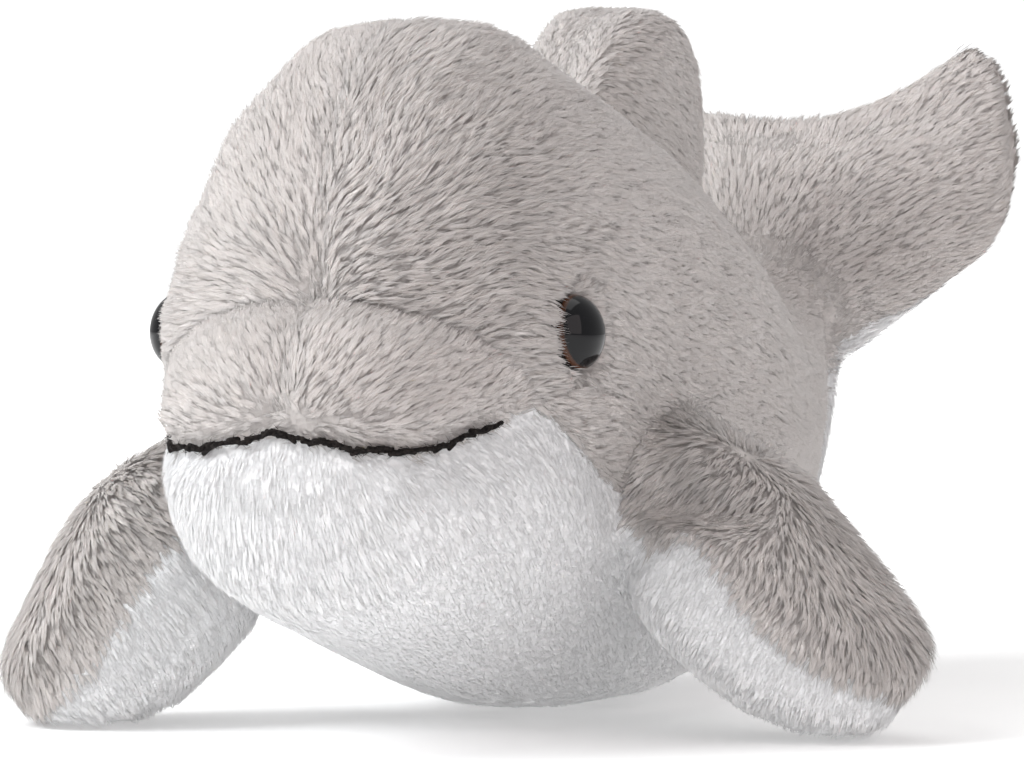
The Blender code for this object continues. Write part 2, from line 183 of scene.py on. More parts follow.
def backingMaterial(name, colour):
    cloth, tree, shader = newMaterial(name)
    fillIn(shader, knitted["shader"])
    place = tree.nodes.new("ShaderNodeTexCoord")
    patches = tree.nodes.new("ShaderNodeTexNoise")
    fillIn(patches, knitted["patches"])
    tree.links.new(place.outputs["Object"], patches.inputs["Vector"])
    shades = tree.nodes.new("ShaderNodeValToRGB")
    for stop, (position, share) in zip(shades.color_ramp.elements, knitted["shades"]):
        stop.position = position
        stop.color = (*[min(knitted["lightest"], c * share) for c in colour[:3]], 1)
    tree.links.new(patches.outputs["Fac"], shades.inputs["Fac"])
    tree.links.new(shades.outputs["Color"], shader.inputs["Base Color"])
    knit = tree.nodes.new("ShaderNodeTexVoronoi")
    fillIn(knit, knitted["loops"])
    tree.links.new(place.outputs["Object"], knit.inputs["Vector"])
    bump = tree.nodes.new("ShaderNodeBump")
    fillIn(bump, knitted["relief"])
    tree.links.new(knit.outputs["Distance"], bump.inputs["Height"])
    tree.links.new(bump.outputs["Normal"], shader.inputs["Normal"])
    return cloth


fibre = {
    "Specular IOR Level": 0.2,
    "Sheen Weight": 0.15,
    "Sheen Roughness": 0.5,
    # light goes on from fibre to fibre, which keeps the pile soft
    "Subsurface Weight": 0.7,
    "Subsurface Radius": (1.0, 0.94, 0.9),
    "Subsurface Scale": 0.9 * mm,
}
glossiness = {"scale": 260.0, "range": {"To Min": 0.5, "To Max": 0.85}}  # fibres catch the light unevenly


def strandMaterials(name, tones):
    made = []
    for i, tone in enumerate(tones):
        strand, tree, shader = newMaterial(f"{name}{i}")
        shader.inputs["Base Color"].default_value = (*tone, 1)
        shader.subsurface_method = "BURLEY"
        fillIn(shader, fibre)
        place = tree.nodes.new("ShaderNodeTexCoord")
        gloss = tree.nodes.new("ShaderNodeTexNoise")
        gloss.inputs["Scale"].default_value = glossiness["scale"]
        tree.links.new(place.outputs["Object"], gloss.inputs["Vector"])
        spread = tree.nodes.new("ShaderNodeMapRange")
        fillIn(spread, glossiness["range"])
        tree.links.new(gloss.outputs["Fac"], spread.inputs["Value"])
        tree.links.new(spread.outputs["Result"], shader.inputs["Roughness"])
        made.append(strand)
    return made


finishes = {
    "gray_pile": (
        backingMaterial("grayBacking", grayFur["backing"]),
        strandMaterials("grayPile", grayFur["tones"]),
    ),
    "white_pile": (
        backingMaterial("whiteBacking", whiteFur["backing"]),
        strandMaterials("whitePile", whiteFur["tones"]),
    ),
}
print("fur materials are made")


skinSetup = {
    "cell": 1.25 * mm,  # how finely the cover is meshed
    "rounding": 5,
    "tidied": 4,  # how often single faces along the seams join the panel around them
    "sink": 1.2 * mm,  # the backing lies this far under the pile's tips
    "seamDip": 1.0 * mm,
    "seamReach": 2.6 * mm,
    "ironed": {"brow": (8.0 * mm, 24), "limb": (4.5 * mm, 6)},  # creases smoothed: how far around, how often
    "rimShare": 0.25,  # how much of the dip a rim gets
    "ground": 0.4 * mm,
}

# where fingers would push or pull the stuffed shape, in millimetres: place, way it moves, reach
shaping = {
    "body_skin": [
        ((50.0, 99.0, 112.0), (0.0, 0.0, 3.2), 13.0),  # the near lobe of the fluke
        ((-29.0, 99.0, 112.0), (0.0, 0.0, 3.4), 13.0),  # the far lobe
        ((16.0, 97.0, 104.0), (0.0, 0.0, -1.6), 15.0),
        ((52.0, 94.5, 79.0), (1.0, -0.3, -0.8), 12.0),  # the near lobe's outer edge
        ((-8.0, -78.0, 109.0), (-0.8, -0.6, 1.8), 15.0),  # the brow's right shoulder
        ((-15.0, -89.0, 97.0), (-1.2, -0.6, 1.0), 13.0),
        ((-18.5, -115.0, 52.0), (-1.5, -0.2, 0.0), 9.0),  # the right corner of the beak
        ((0.0, -104.8, 70.2), (0.0, 3.2, 0.0), 3.8),  # the pit under the brow
        ((12.0, 84.0, 82.0), (0.0, 1.6, -0.4), 8.0),
        ((28.0, 86.0, 84.0), (0.0, 1.2, -0.4), 6.0),
    ],
    "right_flipper_skin": [
        ((-54.0, -70.0, 32.0), (-1.5, -0.4, 1.2), 16.0),
    ],
    "left_flipper_skin": [
        ((57.0, -48.0, 20.0), (-2.2, -0.8, -0.6), 20.0),
        ((55.5, -59.6, 38.1), (-0.5, 1.6, -1.4), 3.6),  # the fold across the top of the flipper
        ((51.0, -61.2, 39.3), (-0.6, 2.2, -2.0), 3.6),
        ((46.4, -61.8, 40.4), (-0.6, 2.4, -2.2), 3.6),
        ((42.5, -61.8, 41.0), (-0.5, 2.0, -1.8), 3.6),
        ((47.0, -54.0, 48.0), (0.6, -1.4, 2.0), 7.0),
    ],
}


# each cushion: the panels sewn into it, and what fills it
cushions = {
    "body_skin": (
        [
            "left_back_panel", "right_back_panel", "left_beak_panel", "right_beak_panel", "belly_panel",
            "fluke_front_panel", "fluke_back_panel",
        ],
        ["body_stuffing", "fluke_stuffing"],
    ),
    "fin_skin": (["left_fin_panel", "right_fin_panel"], ["fin_stuffing"]),
    "left_flipper_skin": (
        ["left_flipper_outer_panel", "left_flipper_inner_panel"],
        ["left_flipper_stuffing"],
    ),
    "right_flipper_skin": (
        ["right_flipper_outer_panel", "right_flipper_inner_panel"],
        ["right_flipper_stuffing"],
    ),
}
panels = [node for members, _ in cushions.values() for node in members]
cushionOf = {node: name for name, (members, _) in cushions.items() for node in members}


def treeOf(places):
    tree = KDTree(len(places))
    for i, p in enumerate(places):
        tree.insert(p, i)
    tree.balance()
    return tree


# tells which panel lies nearest to a point
def panelFinder():
    points, faces, owner = [], [], []
    for number, node in enumerate(panels):
        data = nodes[node].data
        faces += [tuple(len(points) + i for i in p.vertices) for p in data.polygons]
        owner += [number] * len(data.polygons)
        points += [v.co.copy() for v in data.vertices]
    tree = BVHTree.FromPolygons(points, faces)
    return lambda p: owner[tree.find_nearest(p)[2]]


def largestIsland(made):
    left = set(made.faces)
    best = []
    while left:
        island, queue = [], [left.pop()]
        while queue:
            face = queue.pop()
            island.append(face)
            for edge in face.edges:
                for other in edge.link_faces:
                    if other in left:
                        left.remove(other)
                        queue.append(other)
        if len(island) > len(best):
            best = island
    return best


# what kind of seam runs through a point of the cover, if any
def seamAt(v):
    around = {panels[f.material_index] for f in v.link_faces}
    if len(around) < 2:
        return None
    if len({cushionOf[node] for node in around}) > 1:
        return "limb"
    kinds = {node.split("_")[-2] for node in around}
    if kinds == {"back", "beak"}:
        return "brow"
    if kinds == {"beak", "belly"}:
        return "mouth"
    return "rim" if kinds & {"front", "outer", "fin"} else "seam"


# how far the line between gray and white lies off the panels' edges, in millimetres: around the fluke's rim,
# along the left flank, and in front of the flippers, of which the left shows more white and the right less
lineShifts = {
    "fluke": (0.0, -4.5, 3.0),
    "flank": (0.0, 0.0, 6.0),
    "rightFlipper": (-2.0, 0.0, 3.0),
    "leftFlipper": (-5.5, 0.0, -6.5),
}


# 0 up to the start, 1 past the end, and an even slope between them
def ramp(value, start, end):
    return min(max((value - start) / (end - start), 0.0), 1.0)


def seamShift(node, spot):
    x, y = spot.x / mm, spot.y / mm
    if node.startswith("fluke"):
        return Vector(lineShifts["fluke"]) * mm
    if node == "belly_panel" and x > 0:
        return Vector(lineShifts["flank"]) * mm * ramp(y, -35, 35)
    if "_flipper_" in node:
        front = ramp(y, -48, -52)
        if x < 0:
            return Vector(lineShifts["rightFlipper"]) * mm * front
        grown = ramp(x, 40, 48) * (1 - 0.6 * ramp(x, 52, 72))
        return Vector(lineShifts["leftFlipper"]) * mm * front * grown
    return None


# one smooth surface around the whole toy, each face numbered by the panel it belongs to, sunk under the pile
def wrapToy(setup):
    made = bmesh.new()
    for members, fillings in cushions.values():
        for node in members + fillings:
            made.from_mesh(nodes[node].data)
    wrap = bpy.data.objects.new("wrap", bpy.data.meshes.new("wrap"))
    bpy.context.scene.collection.objects.link(wrap)
    made.to_mesh(wrap.data)
    made.free()
    bpy.ops.object.select_all(action="DESELECT")
    wrap.select_set(True)
    bpy.context.view_layer.objects.active = wrap
    shrink = wrap.modifiers.new("shrink", "REMESH")
    shrink.mode = "VOXEL"
    shrink.voxel_size = setup["cell"]
    bpy.ops.object.modifier_apply(modifier="shrink")
    soften = wrap.modifiers.new("soften", "SMOOTH")
    soften.factor = 0.5
    soften.iterations = setup["rounding"]
    bpy.ops.object.modifier_apply(modifier="soften")

    made = bmesh.new()
    made.from_mesh(wrap.data)
    bpy.data.objects.remove(wrap)
    keep = set(largestIsland(made))
    bmesh.ops.delete(made, geom=[f for f in made.faces if f not in keep], context="FACES")
    panelAt = panelFinder()
    for face in made.faces:
        spot = face.calc_center_median()
        face.material_index = panelAt(spot)
        shift = seamShift(panels[face.material_index], spot)
        if shift:
            face.material_index = panelAt(spot + shift)
    for _ in range(setup["tidied"]):
        changes = []
        for face in made.faces:
            around = [f.material_index for e in face.edges for f in e.link_faces if f is not face]
            most = max(set(around), key=around.count)
            if most != face.material_index and around.count(most) > 2:
                changes.append((face, most))
        for face, most in changes:
            face.material_index = most
    for name, moves in shaping.items():
        for place, push, reach in moves:
            for v in made.verts:
                far = (v.co - Vector(place) * mm).length / (reach * mm)
                if far < 3 and cushionOf[panels[v.link_faces[0].material_index]] == name:
                    v.co += Vector(push) * mm * math.exp(-far * far)
    kinds = [seamAt(v) for v in made.verts]
    for kind, (reach, times) in setup["ironed"].items():
        crease = treeOf([v.co for v, k in zip(made.verts, kinds) if k == kind])
        near = [v for v in made.verts if crease.find(v.co)[2] < reach]
        for _ in range(times):
            bmesh.ops.smooth_vert(
                made, verts=near, factor=0.5, use_axis_x=True, use_axis_y=True, use_axis_z=True
            )
    made.normal_update()
    lips = [(v.co.copy(), v.normal.copy()) for v, k in zip(made.verts, kinds) if k == "mouth"]
    sewn = [(v.co.copy(), k) for v, k in zip(made.verts, kinds) if k in ("mouth", "seam", "rim")]
    seams = treeOf([p for p, _ in sewn])
    moves = []
    for v in made.verts:
        _, i, far = seams.find(v.co)
        dip = setup["seamDip"] * (setup["rimShare"] if sewn[i][1] == "rim" else 1.0)
        moves.append(-v.normal * (setup["sink"] + dip * math.exp(-far / setup["seamReach"])))
    for v, move in zip(made.verts, moves):
        v.co += move
        v.co.z = max(v.co.z, setup["ground"])
    made.normal_update()
    return made, seams, [k == "rim" for _, k in sewn], lips


# the part of the wrap that belongs to one cushion, open where it is sewn to the next
def coverFrom(whole, name):
    made = whole.copy()
    bmesh.ops.delete(
        made, geom=[f for f in made.faces if cushionOf[panels[f.material_index]] != name], context="FACES"
    )
    cover = bpy.data.objects.new(name, bpy.data.meshes.new(name))
    bpy.context.scene.collection.objects.link(cover)
    made.to_mesh(cover.data)
    made.free()
    panelOf = [p.material_index for p in cover.data.polygons]
    cover.data.materials.append(finishes["gray_pile"][0])
    cover.data.materials.append(finishes["white_pile"][0])
    for polygon, number in zip(cover.data.polygons, panelOf):
        polygon.material_index = 0 if furPlan[panels[number]][0] == "gray_pile" else 1
    cover.data.shade_smooth()
    return cover, panelOf


furPlan = {
    # panel: slot, locks per mm2, strand length in mm, the way the pile lies, softness from 0 to 1
    "left_back_panel": ("gray_pile", 1.2, 4.4, "back", 0.15),
    "right_back_panel": ("gray_pile", 1.2, 4.2, "back", 0.65),
    "left_beak_panel": ("gray_pile", 1.5, 3.8, "beak", 0.5),
    "right_beak_panel": ("gray_pile", 1.5, 3.8, "beak", 0.65),
    "belly_panel": ("white_pile", 0.95, 3.4, "belly", 1.0),
    "fluke_front_panel": ("gray_pile", 1.5, 3.5, "fluke", 0.55),
    "fluke_back_panel": ("white_pile", 1.2, 4.0, "fluke", 0.8),
    "left_fin_panel": ("gray_pile", 1.4, 3.6, "fin", 0.5),
    "right_fin_panel": ("gray_pile", 1.4, 3.6, "fin", 0.5),
    "left_flipper_outer_panel": ("gray_pile", 1.4, 4.4, "leftFlipper", 0.1),
    "left_flipper_inner_panel": ("white_pile", 1.2, 3.4, "leftFlipper", 1.0),
    "right_flipper_outer_panel": ("gray_pile", 1.3, 4.2, "rightFlipper", 0.4),
    "right_flipper_inner_panel": ("white_pile", 1.2, 3.4, "rightFlipper", 1.0),
}

pileSetup = {
    "hairs": 4,  # fine hairs on each lock
    "hairWidth": 0.16 * mm,
    "lockWidth": 0.50 * mm,
    "lockRadius": 0.32 * mm,
    "gather": 0.6,  # how far the tips of a lock run together
    "curl": 0.16,  # how far hairs bend sideways, as a share of their length
    "rise": 28.0,  # degrees off the skin at the root
    "lie": 9.0,  # degrees off the skin at the tip
    "partReach": 4.0 * mm,  # the pile is brushed away from seams this far in
    "roundness": 0.3,  # how much a lock is shaded as a round ridge
    "tries": 8,  # places drawn for each lock that is kept
    "underside": 5.0 * mm,  # below this height the toy lies on its pile
    "worn": 0.6,  # share of the locks left out there
    "rimFringe": 2.4 * mm,  # gray locks this near to a rim hang over the white
    "lipFringe": 2.8 * mm,  # and here they hang over the mouth
    "eyeArea": 14 * mm,  # only the pile this near to an eye gives way to it
    "eyeTuck": 0.4 * mm,  # locks start this far under the eye's edge
    "eyeRing": 3.2 * mm,  # around the eye they are brushed away from it and shorter
    "eyeTrim": 0.62,
    "whiteShare": 0.42,  # the flat strands of the white pile are this much narrower
    "whiteRoot": 0.05 * mm,  # how deep its strands start in the cover
    "floorGap": 0.05 * mm,
}
cellKey = np.array([1, 4096, 4096 * 4096])  # numbers each cell of a grid


flukeRoot = Vector((0.010, 0.090, 0.062))
browPit = Vector((0.0, -0.1045, 0.0705))  # where the pile parts between the beak and the brow
beakFan = Vector((0.002, -0.1235, 0.0465))
flipperRoots = {"left": Vector((0.036, -0.046, 0.042)), "right": Vector((-0.036, -0.046, 0.042))}


# the direction that the pile is brushed at each point, before it is laid on the skin
def brushed(points, way):
    flow = np.zeros_like(points)
    if way == "back":
        fan = points - np.array(browPit)
        reach = np.linalg.norm(fan, axis=1, keepdims=True)
        flow = unit(fan) * np.exp(-reach / 0.075)
        flow[:, 1] += 0.55
        flow[:, 2] -= 0.12 * (1 - np.exp(-reach[:, 0] / 0.05))
    elif way == "beak":
        flow = unit(points - np.array(beakFan))
        flow[:, 1] += 0.25
    elif way == "belly":
        flow[:, 1] = 0.8
        flow[:, 2] = -0.6
    elif way == "fluke":
        flow = points - np.array(flukeRoot)
        flow[:, 1] *= 0.3
        flow[:, 0] *= 1.5
    elif way == "fin":
        flow[:, 1] = 0.9
        flow[:, 2] = -0.3
    else:  # from the flipper's back towards its front edge and its tip
        side = 1 if way == "leftFlipper" else -1
        fan = points - np.array(flipperRoots["left" if side > 0 else "right"])
        outward = np.clip(np.linalg.norm(fan, axis=1, keepdims=True) / 0.05, 0, 1)
        flow = np.array([[-0.65 * side, 0.3 - 0.15 * side, -0.6]]) + unit(fan) * outward * 0.6
    return flow / np.maximum(np.linalg.norm(flow, axis=1, keepdims=True), 1e-9)


def unit(v):
    return v / np.maximum(np.linalg.norm(v, axis=-1, keepdims=True), 1e-12)


# smooth random field: a few long waves, the same on every run
def waves(points, size, seed, count=7):
    roll = np.random.default_rng(seed)
    total = np.zeros(len(points))
    for i in range(count):
        way = unit(roll.normal(size=3))
        total += np.sin(points @ way * (2 * math.pi / size) * roll.uniform(0.6, 1.5) + roll.uniform(0, 6.28))
    return total / math.sqrt(count)


def meshArrays(sheet, panelOf, number):
    data = sheet.data
    data.calc_loop_triangles()
    owner = np.empty(len(data.loop_triangles), np.int32)
    data.loop_triangles.foreach_get("polygon_index", owner)
    mine = np.array(panelOf)[owner] == number
    points = np.empty(len(data.vertices) * 3)
    data.vertices.foreach_get("co", points)
    normals = np.empty(len(data.vertices) * 3)
    data.vertices.foreach_get("normal", normals)
    tris = np.empty(len(data.loop_triangles) * 3, np.int32)
    data.loop_triangles.foreach_get("vertices", tris)
    return points.reshape(-1, 3), normals.reshape(-1, 3), tris.reshape(-1, 3)[mine]


def turnAbout(v, axis, angle):
    c, s = np.cos(angle)[:, None], np.sin(angle)[:, None]
    return v * c + np.cross(axis, v) * s + axis * (np.sum(axis * v, axis=1, keepdims=True)) * (1 - c)


def growPile(node, cover, panelOf, number, seed):
    slotName, density, length, way, soft = furPlan[node]
    setup = pileSetup
    roll = np.random.default_rng(seed)
    points, normals, tris = meshArrays(cover, panelOf, number)
    a, b, c = points[tris[:, 0]], points[tris[:, 1]], points[tris[:, 2]]
    areas = np.linalg.norm(np.cross(b - a, c - a), axis=1) / 2
    count = int(areas.sum() / mm**2 * density * setup["tries"])
    pick = roll.choice(len(tris), size=count, p=areas / areas.sum())
    u, v = roll.random(count), roll.random(count)
    flip = u + v > 1
    u[flip], v[flip] = 1 - u[flip], 1 - v[flip]
    w = np.stack([1 - u - v, u, v], axis=1)[:, :, None]
    corner = tris[pick]
    root = (points[corner] * w).sum(1)
    normal = unit((normals[corner] * w).sum(1))
    # one lock in each cell, for an even cover
    cells = np.floor(root / (math.sqrt(1.5 / density) * mm)).astype(np.int64)
    first = np.unique(cells @ cellKey, return_index=True)[1]
    under = (root[first, 2] < setup["underside"]) & (normal[first, 2] < -0.8)
    first = first[~(under & (roll.random(len(first)) < setup["worn"]))]
    root, normal, count = root[first], normal[first], len(first)
    part, far, rim = partingAt(root)
    near = (np.exp(-((far / setup["partReach"]) ** 1.5)) * (1 - 0.8 * rim))[:, None]
    flow = brushed(root, way)
    flow = flow * (1 - 0.5 * near) + part * 0.75 * near
    if slotName == "gray_pile":
        flow -= part * (0.7 * rim * np.exp(-((far / setup["rimFringe"]) ** 2)))[:, None]
    lip = np.array([lipTree.find(p)[2] for p in root])
    fringe = np.exp(-((lip / setup["lipFringe"]) ** 2))
    if way == "beak":  # the fringe lies sideways along the mouth and down
        low = fringe[:, None]
        sideways = np.sign(root[:, :1] - 0.004) * np.array([[1.0, 0.3, 0.0]]) - np.array([[0.0, 0.0, 0.85]])
        flow = flow * (1 - low) + sideways * low
    stand = (10 - 12 * rim) * np.exp(-far / (2.0 * mm))  # the pile stands up where it is parted
    length = length * mm * (1 - (0.3 + 0.2 * rim) * np.exp(-far / (3.5 * mm))) * (1 - 0.4 * fringe)
    softAt = np.full(count, soft)
    softAt = np.maximum(softAt, 0.8 * rim * np.exp(-far / (4.0 * mm)))
    if way == "back":  # the flank is smoother than the face
        softAt = np.clip(softAt + 0.5 * np.clip((root[:, 1] + 0.088) / 0.03, 0, 1), 0, 0.85)
    keep = np.ones(count, bool)
    for centre, axis, radius in eyes:
        gap = root - np.array(centre)
        axis = np.array(axis)
        flat = gap - np.outer(gap @ axis, axis)
        reach = np.linalg.norm(flat, axis=1)
        close = np.linalg.norm(gap, axis=1) < setup["eyeArea"]
        keep &= ~(close & (reach < radius - setup["eyeTuck"]))
        ring = close & (reach < radius + setup["eyeRing"])
        behind = ring & (flat[:, 1] > -0.35 * reach)
        flow[behind] += unit(flat[behind]) * 1.6
        length[ring] *= setup["eyeTrim"]
    root, normal, flow, length, stand, soft = (x[keep] for x in (root, normal, flow, length, stand, softAt))
    count = len(root)
    lay = unit(flow - normal * np.sum(flow * normal, axis=1, keepdims=True))
    calm = 1 - 0.8 * soft
    swirl = 0.22 * waves(root, 24 * mm, 5) + 0.16 * waves(root, 8 * mm, 9) + roll.normal(0, 0.13, count)
    lay = turnAbout(lay, normal, swirl * calm)
    lift = stand + (waves(root, 9 * mm, 13) * 4 + roll.normal(0, 4, count)) * calm
    shade = 0.35 * waves(root, 30 * mm, 17) + 0.4 * waves(root, 3.2 * mm, 21, 12)
    shade += roll.normal(0, 0.6, count)

    per = setup["hairs"] + 1  # the first of each lock is its broad, flat body
    root, normal, lay = (np.repeat(x, per, axis=0) for x in (root, normal, lay))
    length, lift, shade, soft, calm = (np.repeat(x, per) for x in (length, lift, shade, soft, calm))
    total = len(root)
    body = np.arange(total) % per == 0
    beside = np.cross(normal, lay)
    offset = roll.normal(0, 1, (total, 2)) * setup["lockRadius"] * (1 + 0.6 * soft)[:, None]
    offset[body] *= 0.3
    white = slotName == "white_pile"
    sunk = setup["whiteRoot"] if white else (0.3 - 0.15 * soft[:, None]) * mm
    start = root + beside * offset[:, :1] + lay * offset[:, 1:] - normal * sunk
    length = length * roll.uniform(0.8, 1.2, total)
    lift = np.where(body, lift * 0.6 - 2, lift + roll.normal(3, 4, total) * calm)
    rise = np.radians(np.clip(setup["rise"] * (1 - 0.75 * soft) + lift, 4, 70))[:, None]
    lie = np.radians(np.clip(setup["lie"] * (1 - 0.9 * soft) + lift * (1 - 0.7 * soft), -6, 50))[:, None]
    half = (length / 2)[:, None]
    bend = roll.normal(0, 1, (total, 2)) * (length * setup["curl"] * (1 - 0.5 * soft))[:, None]
    bend[body] *= 0.2
    pull = -offset[:, :1] * setup["gather"] * (1 - soft)[:, None]
    rising = lay * np.cos(rise) + normal * np.sin(rise)
    lying = lay * np.cos(lie) + normal * np.sin(lie)
    mid = start + rising * half * 0.9 + beside * (pull + bend[:, :1]) * 0.5
    tip = mid + lying * half * 1.1 + beside * (pull + bend[:, 1:]) * 0.5
    broad = setup["lockWidth"] * (setup["whiteShare"] if white else 1 + 0.7 * soft)
    width = np.where(body, broad, setup["hairWidth"]) * roll.uniform(0.75, 1.25, total)
    twist = roll.normal(0, 0.3, total) * (~body) * calm
    across = turnAbout(beside, unit(tip - start), twist) * width[:, None]
    for spot in (start, mid, tip):
        spot[:, 2] = np.maximum(spot[:, 2], setup["floorGap"])
    four = np.stack([start, mid - across / 2, mid + across / 2, tip], axis=1)
    side = np.clip(offset[:, :1] / (2 * setup["lockRadius"]), -1, 1)
    ridge = unit(normal + beside * side * setup["roundness"] * (1 - soft)[:, None] + lay * 0.1)
    fleck = np.where(body, -0.3, roll.normal(0.2, 0.6, total)) * calm
    darkest, middle, lightest = 0, 2, 4
    tone = np.clip(np.round(middle + shade * 0.6 * calm + fleck), darkest, lightest).astype(np.int32)
    # the root half of each strand takes the next darker tone: painted shade for the shadow deep in the pile
    rootShadeTone = np.clip(tone - 1, darkest, lightest)
    return buildStrands(node.replace("_panel", "_pile"), four, rootShadeTone, tone, ridge, slotName)


# each strand is a slim kite, bent at its middle: a root half and a tip half, the root half painted one tone
# darker as painted shade
def buildStrands(name, four, rootShadeTone, tipTone, ridge, slotName):
    total = len(four)
    facing = np.cross(four[:, 2] - four[:, 1], four[:, 3] - four[:, 0])
    turned = np.sum(facing * ridge, axis=1) < 0
    halves = np.tile(np.array([0, 2, 1, 1, 2, 3]), (total, 1))
    halves[turned] = np.array([0, 1, 2, 1, 3, 2])
    loops = (np.arange(total)[:, None] * 4 + halves).ravel()
    points = four.reshape(-1, 3)
    data = bpy.data.meshes.new(name)
    data.vertices.add(len(points))
    data.vertices.foreach_set("co", points.astype(np.float32).ravel())
    data.loops.add(len(loops))
    data.loops.foreach_set("vertex_index", loops.astype(np.int32))
    data.polygons.add(total * 2)
    data.polygons.foreach_set("loop_start", (np.arange(total * 2) * 3).astype(np.int32))
    # the root half in its darker painted-shade tone, the tip half in the lock's own tone
    tones = np.stack([rootShadeTone, tipTone], axis=1).ravel()
    data.polygons.foreach_set("material_index", tones.astype(np.int32))
    for strand in finishes[slotName][1]:
        data.materials.append(strand)
    data.update(calc_edges=True)
    data.validate()
    data.shade_smooth()
    data.normals_split_custom_set_from_vertices(np.repeat(ridge, 4, axis=0).astype(np.float32))
    pile = bpy.data.objects.new(name, data)
    bpy.context.scene.collection.objects.link(pile)
    return pile


# for each point, the way out of the nearest seam, how far off it is and whether it runs along a rim
def partingAt(points):
    part = np.zeros_like(points)
    far, rim = np.zeros(len(points)), np.zeros(len(points))
    for i, p in enumerate(points):
        spot, nearest, distance = seams.find(p)
        part[i] = p - np.array(spot)
        far[i] = distance
        rim[i] = seamIsRim[nearest]
    return unit(part), far, rim


def eyeFrame(side):
    washer = np.array([v.co[:] for v in nodes[side + "_eye_washer"].data.vertices])
    middle = washer.mean(0)
    axis = np.linalg.svd(washer - middle)[2][2]
    if axis[0] * (1 if side == "left" else -1) < 0:
        axis = -axis
    eye = np.array([v.co[:] for v in nodes[side + "_eye"].data.vertices])
    apex = middle + axis * ((eye - middle) @ axis).max()
    return Vector(apex), Vector(axis)


eyeSize = {"dome": 4.6 * mm, "sink": 1.6 * mm, "radius": 6.0 * mm, "stem": 2.0 * mm}
eyes = []
for side in ("left", "right"):
    apex, axis = eyeFrame(side)
    eyes.append((apex - axis * eyeSize["dome"], axis, eyeSize["radius"]))


mouthHalf = 0.0285  # how far the mouth reaches to either side
firstSeed = 100
whole, seams, seamIsRim, lips = wrapToy(skinSetup)
lips = [(p, n) for p, n in lips if abs(p.x) < mouthHalf]
lipTree = treeOf([p for p, _ in lips])
print("cover is wrapped,", len(whole.faces), "faces")
for name, (members, fillings) in cushions.items():
    cover, panelOf = coverFrom(whole, name)
    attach(cover, "root")
    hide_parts(*members, *fillings)
    for node in members:
        number = panels.index(node)
        pile = growPile(node, cover, panelOf, number, firstSeed + number)
        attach(pile, "root")
        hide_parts(node)
        print("pile on", node, len(pile.data.polygons), "triangles")
    print("cushion", name, len(cover.data.polygons), "faces")
whole.free()


mouthSetup = {
    "thread": 0.36 * mm,
    "stitch": 2.2 * mm,
    "apart": 0.85 * mm,
    "above": -0.95 * mm,  # its height over the panels' surface
    "wander": 0.2 * mm,
    "fuzz": 9,  # loose fibres at each stitch
    "fibre": (0.055 * mm, 1.3 * mm),  # radius and length
}


# a plain material with two shades of one colour, mixed by a fine noise
def mottled(name, values, scale, stops):
    made, tree, shader = newMaterial(name)
    fillIn(shader, values)
    place = tree.nodes.new("ShaderNodeTexCoord")
    cloud = tree.nodes.new("ShaderNodeTexNoise")
    cloud.inputs["Scale"].default_value = scale
    tint = tree.nodes.new("ShaderNodeValToRGB")
    for stop, (position, colour) in zip(tint.color_ramp.elements, stops):
        stop.position, stop.color = position, colour
    tree.links.new(place.outputs["Object"], cloud.inputs["Vector"])
    tree.links.new(cloud.outputs["Fac"], tint.inputs["Fac"])
    tree.links.new(tint.outputs["Color"], shader.inputs["Base Color"])
    return made


threadLook = {
    "values": {"Roughness": 0.85, "Specular IOR Level": 0.2},
    "scale": 2200.0,
    "stops": ((0.35, (0.006, 0.005, 0.005, 1.0)), (0.75, (0.045, 0.036, 0.033, 1.0))),
}


# points at even steps along the mouth, with the way out of the skin at each
def mouthLine(lips, apart):
    bins = {}
    for p, n in lips:
        bins.setdefault(round(p.x / (1.5 * mm)), []).append((p, n))
    rough = []
    for k in sorted(bins):
        place, out = (sum((pair[i] for pair in bins[k]), Vector()) for i in (0, 1))
        rough.append((place / len(bins[k]), out.normalized()))
    for _ in range(2):
        rough = [rough[0]] + [
            ((a[0] + b[0] * 2 + c[0]) / 4, (a[1] + b[1] * 2 + c[1]).normalized())
            for a, b, c in zip(rough, rough[1:], rough[2:])
        ] + [rough[-1]]
    line, left = [rough[0]], apart
    for (p, n), (q, m) in zip(rough, rough[1:]):
        span, done = (q - p).length, 0.0
        while span - done > left:
            done += left
            share = done / span
            line.append((p.lerp(q, share), n.lerp(m, share).normalized()))
            left = apart
        left -= span - done
    return line


